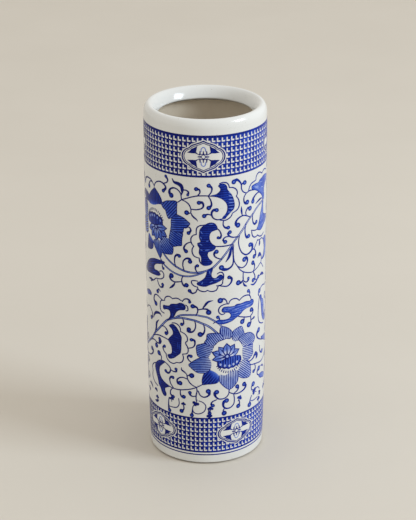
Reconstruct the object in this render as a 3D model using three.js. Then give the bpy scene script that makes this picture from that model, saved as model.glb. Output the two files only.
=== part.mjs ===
// Umbrella stand: a tall glazed porcelain cylinder that draws in a little towards its base, with a rolled lip,
// a drip floor and a foot ring on felt pads.
// Millimetres, +Z up. The origin is the centre of the face that the stand rests on.
// The clay pieces are luted together on flat joint faces before firing. The pads are stuck on afterwards.
import * as THREE from "three";

// Driving dimensions
const CLAY_HEIGHT = 610;
const OUTER_RADIUS = 100;
const BASE_RADIUS = 97; // the wall draws in to this at the foot
const DRAW_IN_Z = 170; // where it starts to
const WALL_THICKNESS = 8;
const THROAT_RADIUS = 76.5; // the narrowest part of the mouth
const LIP_HEIGHT = 26; // from the lip's joint up to its crest
const FLOOR_THICKNESS = 9;
const FOOT_HEIGHT = 8;
const FOOT_WIDTH = 20;
const PAD_THICKNESS = 2;
const PAD_DIAMETER = 12;
const PAD_COUNT = 4;

// Worked out from them
const CREST_Z = PAD_THICKNESS + CLAY_HEIGHT;
const INNER_RADIUS = OUTER_RADIUS - WALL_THICKNESS;
const FLOOR_RADIUS = BASE_RADIUS - WALL_THICKNESS;
const LIP_JOINT_Z = CREST_Z - LIP_HEIGHT;
const FOOT_TOP_Z = PAD_THICKNESS + FOOT_HEIGHT;
const FLOOR_TOP_Z = FOOT_TOP_Z + FLOOR_THICKNESS;
const COVE_RADIUS = 4; // where the floor turns up to meet the wall
const FOOT_INNER_RADIUS = BASE_RADIUS - FOOT_WIDTH;

// Facets
const SEGMENTS = 96;
const PAD_SEGMENTS = 32;
const ARC_DIVISIONS = 5; // an ellipse arc gets twice as many

const QUARTER = Math.PI / 2;

// Glazed porcelain, its bare fired clay, and felt
const glaze = new THREE.MeshStandardMaterial({ color: 0xe4e5e1, roughness: 0.12, metalness: 0 });
const bareClay = new THREE.MeshStandardMaterial({ color: 0xcfc4b2, roughness: 0.8, metalness: 0 });
const felt = new THREE.MeshStandardMaterial({ color: 0x6b6258, roughness: 0.95, metalness: 0 });

// Revolves a closed outline, whose x is the radius and y the height, about +Z.
function revolved(name, outline, material) {
  const geometry = new THREE.LatheGeometry(outline.getPoints(ARC_DIVISIONS), SEGMENTS);
  geometry.rotateX(QUARTER);
  const mesh = new THREE.Mesh(geometry, material);
  mesh.name = name;
  return mesh;
}

// The rolled lip: a fat rounded ring whose inner side slopes down like a funnel and overhangs the well.
function rolledLip() {
  const crestRadius = 91;
  const outerRoll = 15;
  const throatDrop = 17.5;
  const noseRadius = 2.5;
  const throatZ = CREST_Z - throatDrop;
  const outline = new THREE.Path();
  outline.moveTo(OUTER_RADIUS, LIP_JOINT_Z);
  outline.lineTo(OUTER_RADIUS, CREST_Z - outerRoll);
  outline.absellipse(
    crestRadius, CREST_Z - outerRoll, OUTER_RADIUS - crestRadius, outerRoll, 0, QUARTER, false, 0,
  );
  outline.bezierCurveTo(
    crestRadius - 5, CREST_Z, THROAT_RADIUS + 3, throatZ + 9, THROAT_RADIUS, throatZ,
  );
  outline.absarc(THROAT_RADIUS + noseRadius, throatZ, noseRadius, Math.PI, 3 * QUARTER, false);
  outline.lineTo(INNER_RADIUS, LIP_JOINT_Z);
  outline.lineTo(OUTER_RADIUS, LIP_JOINT_Z);
  return revolved("rolled_lip", outline, glaze);
}

// The cylinder that carries the painted decoration. Inside and outside draw in together towards the base.
function cylinderWall() {
  const bendZ = 120;
  const outline = new THREE.Path();
  outline.moveTo(BASE_RADIUS, FOOT_TOP_Z);
  outline.quadraticCurveTo(OUTER_RADIUS, bendZ, OUTER_RADIUS, DRAW_IN_Z);
  outline.lineTo(OUTER_RADIUS, LIP_JOINT_Z);
  outline.lineTo(INNER_RADIUS, LIP_JOINT_Z);
  outline.lineTo(INNER_RADIUS, DRAW_IN_Z);
  outline.quadraticCurveTo(INNER_RADIUS, bendZ, FLOOR_RADIUS, FLOOR_TOP_Z + COVE_RADIUS);
  outline.lineTo(FLOOR_RADIUS, FOOT_TOP_Z);
  outline.lineTo(BASE_RADIUS, FOOT_TOP_Z);
  return revolved("cylinder_wall", outline, glaze);
}

// The drip floor: a disc inside the wall, coved up at its edge so that water has no corner to sit in.
function dripFloor() {
  const outline = new THREE.Path();
  outline.moveTo(0, FOOT_TOP_Z);
  outline.lineTo(FLOOR_RADIUS, FOOT_TOP_Z);
  outline.lineTo(FLOOR_RADIUS, FLOOR_TOP_Z + COVE_RADIUS);
  outline.absarc(
    FLOOR_RADIUS - COVE_RADIUS, FLOOR_TOP_Z + COVE_RADIUS, COVE_RADIUS, 0, -QUARTER, true,
  );
  outline.lineTo(0, FLOOR_TOP_Z);
  return revolved("drip_floor", outline, glaze);
}

// The foot ring: it carries the wall and the floor on its top face, and is bare clay underneath.
function footRing() {
  const outerRound = 3;
  const innerTaper = 3;
  const outline = new THREE.Path();
  outline.moveTo(FOOT_INNER_RADIUS + innerTaper, PAD_THICKNESS);
  outline.lineTo(BASE_RADIUS - outerRound, PAD_THICKNESS);
  outline.absarc(BASE_RADIUS - outerRound, PAD_THICKNESS + outerRound, outerRound, -QUARTER, 0, false);
  outline.lineTo(BASE_RADIUS, FOOT_TOP_Z);
  outline.lineTo(FOOT_INNER_RADIUS, FOOT_TOP_Z);
  outline.lineTo(FOOT_INNER_RADIUS + innerTaper, PAD_THICKNESS);
  return revolved("foot_ring", outline, bareClay);
}

// One round felt pad, stuck to the middle of the foot ring's bare underside.
function feltPad(number) {
  const ringMiddle = BASE_RADIUS - FOOT_WIDTH / 2;
  const angle = ((number - 0.5) * 2 * Math.PI) / PAD_COUNT;
  const geometry = new THREE.CylinderGeometry(
    PAD_DIAMETER / 2, PAD_DIAMETER / 2, PAD_THICKNESS, PAD_SEGMENTS,
  );
  geometry.rotateX(QUARTER);
  const mesh = new THREE.Mesh(geometry, felt);
  mesh.name = `felt_pad_${number}`;
  mesh.position.set(ringMiddle * Math.cos(angle), ringMiddle * Math.sin(angle), PAD_THICKNESS / 2);
  return mesh;
}

const umbrellaStand = new THREE.Group();
umbrellaStand.add(rolledLip(), cylinderWall(), dripFloor(), footRing());
for (let number = 1; number <= PAD_COUNT; number += 1) {
  umbrellaStand.add(feltPad(number));
}

export default umbrellaStand;
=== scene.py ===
"""Umbrella stand: a porcelain cylinder painted in cobalt blue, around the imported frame. Metres, +Z up."""

import math

import bpy
import bmesh
import numpy as np
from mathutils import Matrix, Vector
from mathutils.geometry import delaunay_2d_cdt


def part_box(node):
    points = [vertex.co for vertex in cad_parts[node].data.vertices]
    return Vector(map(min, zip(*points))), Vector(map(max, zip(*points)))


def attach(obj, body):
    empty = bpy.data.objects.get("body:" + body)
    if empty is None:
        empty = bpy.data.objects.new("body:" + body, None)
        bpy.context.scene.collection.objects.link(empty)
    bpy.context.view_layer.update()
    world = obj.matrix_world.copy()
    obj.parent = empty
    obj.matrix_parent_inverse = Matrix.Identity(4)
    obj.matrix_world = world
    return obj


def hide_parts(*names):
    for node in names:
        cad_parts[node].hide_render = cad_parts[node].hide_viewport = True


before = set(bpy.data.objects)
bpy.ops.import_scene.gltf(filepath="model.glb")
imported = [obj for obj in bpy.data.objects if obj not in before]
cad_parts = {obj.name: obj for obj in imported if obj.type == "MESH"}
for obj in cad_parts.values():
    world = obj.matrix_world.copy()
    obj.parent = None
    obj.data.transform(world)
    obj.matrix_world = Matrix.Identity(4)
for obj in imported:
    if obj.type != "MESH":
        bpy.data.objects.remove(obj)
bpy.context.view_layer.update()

MM = 0.001

# ---------------------------------------------------------------- places, from the frame

wall_low, wall_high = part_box("cylinder_wall")
lip_low, lip_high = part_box("rolled_lip")
floor_low, floor_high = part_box("drip_floor")
foot_low, foot_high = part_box("foot_ring")

OUTER_RADIUS = wall_high.x
WALL_THICKNESS = 0.008
INNER_RADIUS = OUTER_RADIUS - WALL_THICKNESS
BASE_RADIUS = foot_high.x
FLOOR_RADIUS = floor_high.x
THROAT_RADIUS = min(math.hypot(v.co.x, v.co.y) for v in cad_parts["rolled_lip"].data.vertices)
PAINT_RELIEF = 0.0002  # the fired cobalt stands this far out of the glaze
GLAZE_RADIUS = OUTER_RADIUS - PAINT_RELIEF
ROUND_STEPS = 360
SHARP_DEGREES = 35  # edges sharper than this keep their crease


def drawn_in(height, low, base_radius, full_radius):
    """The wall's radius at a height. Below start it draws in, along a parabola, to base_radius at low."""
    bend = 0.120
    start = 0.170
    # t goes from 0 at low to 1 at start, with height = low + b * t + a * t ** 2
    a = low - 2 * bend + start
    b = 2 * (bend - low)
    root = np.sqrt(np.maximum(b * b - 4 * a * (low - height), 0))
    t = np.clip((root - b) / (2 * a), 0, 1)
    t = np.where(np.asarray(height) >= start, 1.0, t)
    return full_radius - (full_radius - base_radius) * (1 - t) ** 2


def outer_radius(height):
    return drawn_in(height, foot_high.z, BASE_RADIUS, OUTER_RADIUS)


def well_radius(height):
    return drawn_in(height, floor_high.z, FLOOR_RADIUS, INNER_RADIUS)


# ---------------------------------------------------------------- materials


def new_material(name):
    material = bpy.data.materials.new(name)
    material.use_nodes = True
    nodes = material.node_tree.nodes
    return material, nodes, material.node_tree.links, nodes["Principled BSDF"]


def noise(nodes, links, scale, detail=2.0, stretch=(1, 1, 1)):
    """A noise texture in object space, whose scale is in cycles per metre."""
    where = nodes.new("ShaderNodeTexCoord")
    mapping = nodes.new("ShaderNodeMapping")
    mapping.inputs["Scale"].default_value = stretch
    texture = nodes.new("ShaderNodeTexNoise")
    texture.inputs["Scale"].default_value = scale
    texture.inputs["Detail"].default_value = detail
    links.new(where.outputs["Object"], mapping.inputs["Vector"])
    links.new(mapping.outputs["Vector"], texture.inputs["Vector"])
    return texture.outputs["Fac"]


def ramp(nodes, links, value, stops):
    """Colours or greys along a value: stops is a list of (place, colour)."""
    node = nodes.new("ShaderNodeValToRGB")
    elements = node.color_ramp.elements
    while len(elements) < len(stops):
        elements.new(0.5)
    for element, (place, colour) in zip(elements, stops):
        element.position = place
        element.color = (*colour, 1)
    links.new(value, node.inputs["Fac"])
    return node.outputs["Color"]


def grey(value):
    return (value, value, value)


def mottled(nodes, links, scale, detail, edge, first, second):
    """A colour that drifts between two with a noise: each is reached at a distance of edge from its end."""
    return ramp(nodes, links, noise(nodes, links, scale, detail), [(edge, first), (1 - edge, second)])


def mix(nodes, links, factor, a, b):
    """Colour a where the factor is 0 and colour b where it is 1. Each is a socket or a plain colour."""
    node = nodes.new("ShaderNodeMix")
    node.data_type = "RGBA"
    for name, value in (("Factor", factor), ("A", a), ("B", b)):
        socket = [s for s in node.inputs if s.name == name and s.enabled][0]
        if isinstance(value, tuple):
            socket.default_value = (*value, 1)
        else:
            links.new(value, socket)
    return [s for s in node.outputs if s.enabled][0]


def bump(nodes, links, layers, normal_input):
    """Chains bump nodes: layers is a list of (height socket, distance in metres, strength)."""
    last = None
    for height, distance, strength in layers:
        node = nodes.new("ShaderNodeBump")
        node.inputs["Distance"].default_value = distance
        node.inputs["Strength"].default_value = strength
        links.new(height, node.inputs["Height"])
        if last is not None:
            links.new(last, node.inputs["Normal"])
        last = node.outputs["Normal"]
    links.new(last, normal_input)


def glaze_surface(nodes, links, shader, mirror):
    """The fired glaze's clear gloss over the colour under it, with a slow ripple and a fine peel."""
    shader.inputs["IOR"].default_value = 1.5
    shader.inputs["Specular IOR Level"].default_value = mirror
    rough = mottled(nodes, links, 30, 4, 0.3, grey(0.10), grey(0.17))
    links.new(rough, shader.inputs["Roughness"])
    ripple = noise(nodes, links, 16, 2, (1, 1, 0.5))
    peel = noise(nodes, links, 190, 2)
    bump(nodes, links, [(ripple, 0.0012, 0.35), (peel, 0.00012, 0.35)], shader.inputs["Normal"])


def porcelain_material():
    material, nodes, links, shader = new_material("glazed_porcelain")
    cloud = mottled(nodes, links, 9, 3, 0.35, (0.635, 0.648, 0.64), (0.68, 0.69, 0.68))
    speck = ramp(nodes, links, noise(nodes, links, 420, 1), [(0.765, grey(0)), (0.80, grey(1))])
    colour = mix(nodes, links, speck, cloud, (0.36, 0.31, 0.24))
    links.new(colour, shader.inputs["Base Color"])
    glaze_surface(nodes, links, shader, 0.42)
    return material


def painted_side_shade(nodes, links, depth):
    """Painted shade and light on the cobalt: adds depth on the -X side, away from the window, and takes it off
    on the +X side, where the window lights the pot.
    """
    where = nodes.new("ShaderNodeTexCoord")
    parts = nodes.new("ShaderNodeSeparateXYZ")
    links.new(where.outputs["Object"], parts.inputs["Vector"])
    side = nodes.new("ShaderNodeMapRange")
    ends = {"From Min": -0.03, "From Max": 0.09, "To Min": 0.09, "To Max": -0.15}
    for socket, value in ends.items():
        side.inputs[socket].default_value = value
    links.new(parts.outputs["X"], side.inputs["Value"])
    total = nodes.new("ShaderNodeMath")
    links.new(depth, total.inputs[0])
    links.new(side.outputs["Result"], total.inputs[1])
    return total.outputs[0]


def cobalt_material():
    """Cobalt painting: the tone attribute is the wash's strength, and the colour pools darker in places."""
    material, nodes, links, shader = new_material("painted_cobalt")
    tone = nodes.new("ShaderNodeAttribute")
    tone.attribute_name = "tone"
    pool = noise(nodes, links, 70, 3)
    streak = noise(nodes, links, 330, 2, (1, 1, 0.4))
    depth = tone.outputs["Fac"]
    strength_scale = 0.75
    for texture, share in ((pool, 0.36), (streak, 0.16)):
        add = nodes.new("ShaderNodeMath")
        add.operation = "MULTIPLY_ADD"
        links.new(depth, add.inputs[0])
        add.inputs[1].default_value = strength_scale
        scaled = nodes.new("ShaderNodeMath")
        scaled.operation = "MULTIPLY"
        scaled.inputs[1].default_value = share
        links.new(texture, scaled.inputs[0])
        links.new(scaled.outputs[0], add.inputs[2])
        depth = add.outputs[0]
        strength_scale = 1.0
    # painted shade and light: the cobalt is deeper on the -X side and paler on the +X side, where the window
    # lights it
    depth = painted_side_shade(nodes, links, depth)
    stops = [
        (0.20, (0.54, 0.59, 0.72)),
        (0.34, (0.27, 0.35, 0.67)),
        (0.48, (0.10, 0.18, 0.57)),
        (0.64, (0.022, 0.070, 0.45)),
        (0.80, (0.002, 0.021, 0.27)),
        (0.95, (0.0006, 0.006, 0.13)),
    ]
    links.new(ramp(nodes, links, depth, stops), shader.inputs["Base Color"])
    glaze_surface(nodes, links, shader, 0.12)
    return material


def shaded_well_material():
    """The glaze inside the well, coloured darker and warmer than the porcelain outside: painted shade for the
    well's shaded inside.
    """
    material, nodes, links, shader = new_material("well_glaze_painted_shade")
    body = mottled(nodes, links, 14, 4, 0.35, (0.58, 0.505, 0.395), (0.66, 0.59, 0.485))
    links.new(body, shader.inputs["Base Color"])
    rough = mottled(nodes, links, 40, 4, 0.3, grey(0.30), grey(0.45))
    links.new(rough, shader.inputs["Roughness"])
    bump(nodes, links, [(noise(nodes, links, 60, 3), 0.0006, 0.4)], shader.inputs["Normal"])
    return material


def clay_material():
    material, nodes, links, shader = new_material("bare_clay")
    body = mottled(nodes, links, 60, 4, 0.35, (0.44, 0.36, 0.26), (0.58, 0.50, 0.39))
    grit = ramp(nodes, links, noise(nodes, links, 900, 1), [(0.62, grey(0)), (0.75, grey(1))])
    links.new(mix(nodes, links, grit, body, (0.25, 0.19, 0.13)), shader.inputs["Base Color"])
    rough = mottled(nodes, links, 200, 3, 0.3, grey(0.72), grey(0.92))
    links.new(rough, shader.inputs["Roughness"])
    bump(nodes, links, [(noise(nodes, links, 700, 3), 0.0002, 0.5)], shader.inputs["Normal"])
    return material


def felt_material():
    material, nodes, links, shader = new_material("felt")
    fibre = noise(nodes, links, 1400, 4)
    colour = ramp(nodes, links, fibre, [(0.3, (0.055, 0.045, 0.036)), (0.7, (0.13, 0.11, 0.09))])
    links.new(colour, shader.inputs["Base Color"])
    shader.inputs["Sheen Weight"].default_value = 0.4
    shader.inputs["Sheen Roughness"].default_value = 0.6
    rough = ramp(nodes, links, fibre, [(0.3, grey(0.88)), (0.7, grey(0.98))])
    links.new(rough, shader.inputs["Roughness"])
    bump(nodes, links, [(fibre, 0.0003, 0.8)], shader.inputs["Normal"])
    return material


def floor_material():
    material, nodes, links, shader = new_material("studio_floor")
    tint = mottled(nodes, links, 3, 3, 0.3, (0.60, 0.565, 0.505), (0.615, 0.58, 0.52))
    links.new(tint, shader.inputs["Base Color"])
    shader.inputs["Roughness"].default_value = 0.75
    shader.inputs["Specular IOR Level"].default_value = 0.15
    bump(nodes, links, [(noise(nodes, links, 260, 3), 0.0002, 0.2)], shader.inputs["Normal"])
    return material


PORCELAIN = porcelain_material()
SHADED_WELL = shaded_well_material()
COBALT = cobalt_material()
CLAY = clay_material()
FELT = felt_material()


# ---------------------------------------------------------------- turned pieces


def arc(centre_r, centre_z, radius_r, radius_z, start, end, steps):
    """Points of an ellipse arc in the section plane, as (radius, height); the angles are in degrees."""
    points = []
    for k in range(steps + 1):
        a = math.radians(start + (end - start) * k / steps)
        points.append((centre_r + radius_r * math.cos(a), centre_z + radius_z * math.sin(a)))
    return points


def finished_piece(name, mesh, material, slot, *replaced):
    """Puts a mesh in the scene as a piece of the pot, in place of the nodes that it replaces."""
    piece = bpy.data.objects.new(name, mesh)
    bpy.context.scene.collection.objects.link(piece)
    mesh.materials.append(material)
    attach(piece, "root")
    if replaced:
        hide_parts(*replaced)


def turned_mesh(name, outline):
    """Revolves (radius, height) points about +Z. The outline closes, or starts and ends on the axis."""
    rows = []
    mesh_data = bmesh.new()
    for radius, height in outline:
        if radius < 1e-9:
            rows.append([mesh_data.verts.new((0, 0, height))])
            continue
        row = []
        for k in range(ROUND_STEPS):
            a = 2 * math.pi * k / ROUND_STEPS
            row.append(mesh_data.verts.new((radius * math.cos(a), radius * math.sin(a), height)))
        rows.append(row)
    on_axis = len(rows[0]) == 1
    pairs = zip(rows, rows[1:] if on_axis else rows[1:] + rows[:1])
    for low, high in pairs:
        for k in range(ROUND_STEPS):
            after = (k + 1) % ROUND_STEPS
            corners = [low[k % len(low)], low[after % len(low)]]
            corners += [high[after % len(high)], high[k % len(high)]]
            distinct = list(dict.fromkeys(corners))
            if len(distinct) > 2:
                mesh_data.faces.new(distinct)
    bmesh.ops.recalc_face_normals(mesh_data, faces=mesh_data.faces)
    mesh = bpy.data.meshes.new(name)
    mesh_data.to_mesh(mesh)
    mesh_data.free()
    mesh.shade_smooth()
    mesh.set_sharp_from_angle(angle=math.radians(SHARP_DEGREES))
    return mesh


def bezier(a, b, c, d, steps):
    """Points of a cubic curve from a to d, leaving out a."""
    points = []
    for k in range(1, steps + 1):
        t = k / steps
        weights = ((1 - t) ** 3, 3 * t * (1 - t) ** 2, 3 * t * t * (1 - t), t**3)
        points.append(tuple(sum(w * p[i] for w, p in zip(weights, (a, b, c, d))) for i in (0, 1)))
    return points


def rolled_lip():
    """A fat roll outside, a funnel inside, and a small round nose where it overhangs the well."""
    crest = (0.91 * OUTER_RADIUS, lip_high.z)
    outer_roll = 0.015
    nose = 0.0025
    throat_drop = 0.0175
    throat = (THROAT_RADIUS, lip_high.z - throat_drop)
    outline = [(INNER_RADIUS, lip_low.z), (GLAZE_RADIUS, lip_low.z)]
    outline += arc(crest[0], crest[1] - outer_roll, GLAZE_RADIUS - crest[0], outer_roll, 0, 90, 20)
    over_crest = (crest[0] - 0.005, crest[1])
    above_throat = (throat[0] + 0.003, throat[1] + 0.009)
    outline += bezier(crest, over_crest, above_throat, throat, 24)
    outline += arc(throat[0] + nose, throat[1], nose, nose, 180, 270, 8)[1:]
    mesh = turned_mesh("glazed_lip", outline)
    finished_piece("glazed_lip", mesh, PORCELAIN, "glazed_porcelain", "rolled_lip")


def cylinder_wall():
    """The wall's white outer glaze and, just inside it, the lining of the well."""
    rows = 60
    lining = 0.002
    heights = [wall_low.z + (wall_high.z - wall_low.z) * k / rows for k in range(rows + 1)]
    outer = [(float(outer_radius(z)) - PAINT_RELIEF, z) for z in heights]
    back = [(float(well_radius(z)) + lining, z) for z in heights]
    face = [(float(well_radius(z)), z) for z in heights]
    wall = turned_mesh("glazed_wall", outer + back[::-1])
    finished_piece("glazed_wall", wall, PORCELAIN, "glazed_porcelain", "cylinder_wall")
    well = turned_mesh("well_lining", back + face[::-1])
    finished_piece("well_lining", well, SHADED_WELL, "glazed_porcelain")


def drip_floor():
    """The disc that closes the well, coved up at its edge."""
    cove = 0.004
    top = floor_high.z - cove
    outline = [(0, floor_low.z), (FLOOR_RADIUS, floor_low.z)]
    outline += arc(FLOOR_RADIUS - cove, top + cove, cove, cove, 0, -90, 8)
    outline += [(0.5 * FLOOR_RADIUS, top), (0, top)]
    mesh = turned_mesh("glazed_floor", outline)
    finished_piece("glazed_floor", mesh, SHADED_WELL, "glazed_porcelain", "drip_floor")


def foot_ring():
    """The foot's outer face is glazed down to its rounded edge, and its underside is wiped bare."""
    glaze_radius = BASE_RADIUS - PAINT_RELIEF
    width = 0.020
    edge = 0.003
    taper = 0.003
    wiped_from = -55  # degrees round the rounded edge
    glazed = [(glaze_radius - edge, foot_high.z), (glaze_radius, foot_high.z)]
    glazed += arc(glaze_radius - edge, foot_low.z + edge, edge, edge, 0, wiped_from, 8)
    rounded = arc(glaze_radius - edge, foot_low.z + edge, edge, edge, wiped_from, -90, 6)
    bare = [(glaze_radius - edge, foot_high.z), *rounded]
    bare += [(BASE_RADIUS - width + taper, foot_low.z), (BASE_RADIUS - width, foot_high.z)]
    glazed_mesh = turned_mesh("glazed_foot", glazed)
    finished_piece("glazed_foot", glazed_mesh, PORCELAIN, "glazed_porcelain")
    bare_mesh = turned_mesh("bare_foot_ring", bare)
    finished_piece("bare_foot_ring", bare_mesh, CLAY, "bare_clay", "foot_ring")


def felt_pad(number):
    """A die-cut felt disc, with its edges a little rounded and its lower face a little pressed out."""
    node = f"felt_pad_{number}"
    low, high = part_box(node)
    radius = (high.x - low.x) / 2
    thickness = high.z - low.z
    rounding = 0.35 * thickness
    outline = [(0, 0)]
    outline += arc(radius - rounding, rounding, rounding, rounding, -90, 0, 6)
    outline += arc(0.97 * radius - rounding, thickness - rounding, rounding, rounding, 0, 90, 6)
    outline += [(0, thickness)]
    mesh = turned_mesh(f"felt_disc_{number}", outline)
    centre = (low + high) / 2
    for vertex in mesh.vertices:
        vertex.co += Vector((centre.x, centre.y, low.z))
    finished_piece(f"felt_disc_{number}", mesh, FELT, "felt", node)


rolled_lip()
cylinder_wall()
drip_floor()
foot_ring()
for pad_number in (1, 2, 3, 4):
    felt_pad(pad_number)

# ---------------------------------------------------------------- the painted design, on a flat sheet in mm

# A place on the sheet is (degrees round from the front towards +X, mm above the foot).
ARC_PER_DEGREE = math.radians(1) * OUTER_RADIUS / MM
UNIT_DEGREES = 180  # the scrollwork repeats after half a turn
CURVE_STEP = 2.2  # mm
SPREAD = 1.14  # how much wider than the brush's path the cobalt runs in the firing
NONE, WASH, PALE, MIDDLE, FULL, GROUND, DARK = 0.0, 0.1, 0.3, 0.5, 0.66, 0.78, 0.88


def sides(outline):
    return zip(outline, [*outline[1:], outline[0]])


class Sheet:
    """Areas of paint in the order that they are laid. A later one covers the earlier; NONE bares the glaze."""

    def __init__(self):
        self.areas = []

    def lay(self, tone, outline, fade=None):
        """A fade is (centre, near, far): no wash up to near mm from the centre, all of it from far on."""
        around = sum(a[0] * b[1] - b[0] * a[1] for a, b in sides(outline))
        if abs(around) > 0.001:
            self.areas.append((tone, outline if around > 0 else outline[::-1], fade))


def place(degrees, height):
    return (degrees * ARC_PER_DEGREE, height)


def offset(point, angle, distance):
    a = math.radians(angle)
    return (point[0] + distance * math.cos(a), point[1] + distance * math.sin(a))


def smooth(points, closed=False):
    """A Catmull-Rom curve through the points, in short straight steps."""
    if closed:
        ring = [points[-1], *points, points[0], points[1]]
    else:
        first = (2 * points[0][0] - points[1][0], 2 * points[0][1] - points[1][1])
        last = (2 * points[-1][0] - points[-2][0], 2 * points[-1][1] - points[-2][1])
        ring = [first, *points, last]
    curve = []
    for a, b, c, d in zip(ring, ring[1:], ring[2:], ring[3:]):
        count = max(2, round(math.dist(b, c) / CURVE_STEP))
        for k in range(count):
            t = k / count
            weights = (-t + 2 * t**2 - t**3, 2 - 5 * t**2 + 3 * t**3, t + 4 * t**2 - 3 * t**3, t**3 - t**2)
            curve.append(tuple(0.5 * sum(w * p[i] for w, p in zip(weights, (a, b, c, d))) for i in (0, 1)))
    if not closed:
        curve.append(tuple(points[-1]))
    return curve


def disc(sheet, centre, radius, tone=DARK, squash=1.0):
    count = max(10, round(2 * math.pi * radius / CURVE_STEP))
    outline = []
    for k in range(count):
        turn = 2 * math.pi * k / count
        outline.append((centre[0] + radius * math.cos(turn), centre[1] + squash * radius * math.sin(turn)))
    sheet.lay(tone, outline)


def simple(corners):
    """The corners in order round their middle, so that no two sides cross."""
    x = sum(p[0] for p in corners) / len(corners)
    y = sum(p[1] for p in corners) / len(corners)
    return sorted(corners, key=lambda p: math.atan2(p[1] - y, p[0] - x))


def brush(sheet, curve, widths, tone=DARK):
    """A stroke along a curve. The widths are spread evenly along its length."""
    widths = [SPREAD * width for width in widths]
    lengths = [0.0]
    for a, b in zip(curve, curve[1:]):
        lengths.append(lengths[-1] + math.dist(a, b))
    marks = [lengths[-1] * k / (len(widths) - 1) for k in range(len(widths))]
    edges = []
    for k, point in enumerate(curve):
        before = curve[max(k - 1, 0)]
        after = curve[min(k + 1, len(curve) - 1)]
        span = math.dist(before, after) or 1.0
        across = ((before[1] - after[1]) / span, (after[0] - before[0]) / span)
        half = float(np.interp(lengths[k], marks, widths)) / 2
        left = (point[0] + half * across[0], point[1] + half * across[1])
        right = (point[0] - half * across[0], point[1] - half * across[1])
        edges.append((left, right))
    for (a, b), (c, d) in zip(edges, edges[1:]):
        sheet.lay(tone, simple([a, b, d, c]))
    for end, width in ((curve[0], widths[0]), (curve[-1], widths[-1])):
        if width > 0.8:
            disc(sheet, end, width / 2, tone)


def line(sheet, width, *places):
    curve = smooth([place(*p) for p in places])
    brush(sheet, curve, [0.85 * width, width, 1.1 * width, width, 0.85 * width])


def stem(sheet, width, *places):
    """Two fine lines with a pale wash between them."""
    curve = smooth([place(*p) for p in places])
    brush(sheet, curve, [width, width])
    brush(sheet, curve, [0.3 * width, 0.3 * width], WASH)


def tendril(sheet, knob, *places):
    """A fine line that swells to a round knob, lighter in its middle, at its last place."""
    curve = smooth([place(*p) for p in places])
    brush(sheet, curve, [1.6, 1.8, 2.1, 3.0, 1.6 * knob])
    disc(sheet, curve[-1], 1.12 * knob)
    disc(sheet, curve[-1], 0.5 * knob, MIDDLE)


def blade(sheet, width, *places):
    """A stroke that swells in the middle and tapers to both ends, like a grass blade."""
    brush(sheet, smooth([place(*p) for p in places]), [1.0, 0.75 * width, width, 0.8 * width, 0.5])


# Flowers. Lengths are in mm, and angles in degrees from +X towards up.

VEIN_PITCH = 3.2
VEIN_STEP = 10.0
MOST_VEINS = 20  # to each side of an area's middle
WASH_STARTS = 24  # how far from the flower's centre
WASH_FULL = 50
DARK_WASH_FULL = 46
EDGE_STARTS = 33
EDGE_GAP = 4  # two points of the edge that are farther apart than this aren't joined


def crossings(outline, point, angle):
    """How far along a line through the point the outline's edges lie, in order."""
    along = (math.cos(math.radians(angle)), math.sin(math.radians(angle)))
    found = []
    for a, b in sides(outline):
        side_a = along[0] * (a[1] - point[1]) - along[1] * (a[0] - point[0])
        side_b = along[0] * (b[1] - point[1]) - along[1] * (b[0] - point[0])
        if (side_a > 0) != (side_b > 0):
            t = side_a / (side_a - side_b)
            hit = (a[0] + t * (b[0] - a[0]), a[1] + t * (b[1] - a[1]))
            found.append(along[0] * (hit[0] - point[0]) + along[1] * (hit[1] - point[1]))
    return sorted(found)


def veined(sheet, outline, angle, tone, pitch, width, inset):
    """Parallel strokes across an area, each stopping short of its edge."""
    middle = tuple(sum(p[i] for p in outline) / len(outline) for i in (0, 1))
    for k in range(-MOST_VEINS, MOST_VEINS + 1):
        start = offset(middle, angle + 90, (k + 0.5) * pitch)
        hits = crossings(outline, start, angle)
        for low, high in zip(hits[::2], hits[1::2]):
            if high - low > 3 * inset:
                length = high - low - 2 * inset
                steps = max(1, math.ceil(length / VEIN_STEP))
                stroke = [offset(start, angle, low + inset + length * i / steps) for i in range(steps + 1)]
                brush(sheet, stroke, [width, width], tone)


def petal(sheet, centre, angle, tone, *places):
    """A petal whose wash thins towards the flower's ring, with a dark edge and fine veins along it."""
    outline = smooth([place(*p) for p in places], closed=True)
    sheet.lay(NONE, outline)
    if tone == DARK:
        sheet.lay(DARK, outline, (centre, WASH_STARTS, DARK_WASH_FULL))
        veined(sheet, outline, angle, MIDDLE, 4.2, 0.9, 2.0)
        return
    sheet.lay(0.75 * tone, outline, (centre, WASH_STARTS, WASH_FULL))
    pitch = VEIN_PITCH + 3 * (tone - PALE)
    veined(sheet, outline, angle, DARK, pitch, 0.43 * pitch, 0.5)
    edge = [p for p in outline if math.dist(p, centre) > EDGE_STARTS]
    for a, b in sides(edge):
        if math.dist(a, b) < EDGE_GAP:
            brush(sheet, [a, b], [1.2, 1.2])


# The heart of a flower that opens upwards, from the flower's centre. Each of its small petals is
# (angle from the knot, length, half width).
HEART_PETALS = [(158, 29, 7.5), (188, 27, 6.5), (22, 25, 7), (128, 25, 7), (56, 25, 7), (92, 25, 8)]
KNOT = (-1, 4)
CUP = [
    (-18, 1), (-18.5, -6), (-17.8, -12), (-14, -16.4), (-10, -16), (-6.5, -18.6), (-2.5, -17.8),
    (1.7, -20), (6, -18.2), (10.5, -19), (14.5, -16.6), (19.2, -16.4), (23, -12), (25.6, -7.5), (25, -1),
    (20, 2), (0, 4),
]
CUP_LIGHTS = [(-12.5, -9.5), (-5, -12.5), (3, -14), (10.5, -12.5), (17, -9.5)]
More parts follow.
